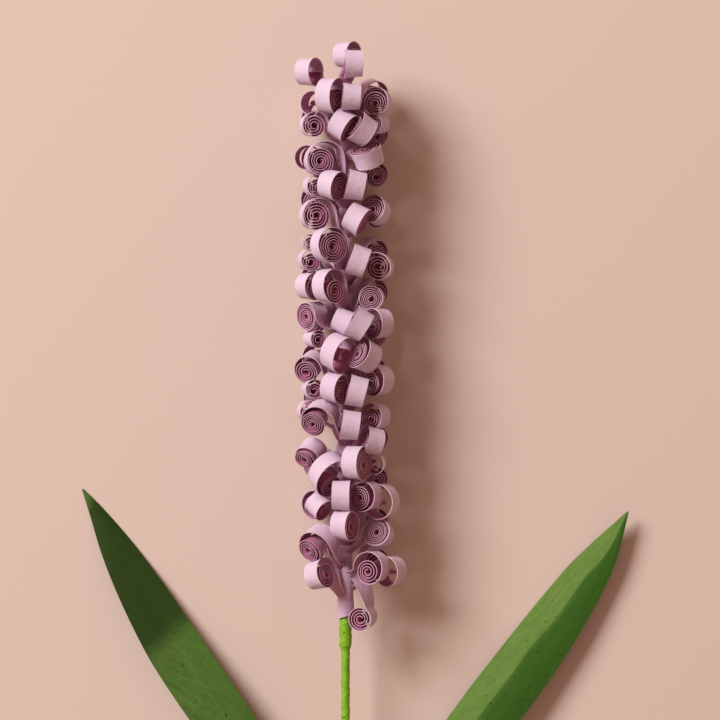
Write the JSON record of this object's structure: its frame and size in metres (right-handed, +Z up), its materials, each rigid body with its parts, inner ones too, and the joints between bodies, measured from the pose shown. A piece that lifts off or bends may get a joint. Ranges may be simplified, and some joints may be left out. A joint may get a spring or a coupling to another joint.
{
  "type": "paper flower",
  "caption": "Paper flower with a long head of curled fringes wound on a taped wire stem, and two long folded leaves.",
  "frame": {"origin": "centre of the bounding box's underside, on the surface the flower lies on", "axes": "+Y along the stem towards the tip of the head, +Z up from the surface it lies on"},
  "size_m": [0.1992, 0.3606, 0.0371],
  "materials": {
    "petal_paper": "matte, dyed through",
    "leaf_paper_dark": "matte, mottled",
    "leaf_paper_light": "matte, mottled",
    "floral_tape": "waxed crepe, slightly shiny",
    "wire": "drawn wire"
  },
  "bodies": {
    "root": {"stem_wire": "wire", "stem_tape": "floral_tape", "leaf_binding_tape": "floral_tape", "petal_strip_top": "petal_paper", "petal_strip_middle": "petal_paper", "petal_strip_bottom": "petal_paper", "leaf_left": "leaf_paper_dark", "leaf_right": "leaf_paper_light"}
  },
  "joints": []
}
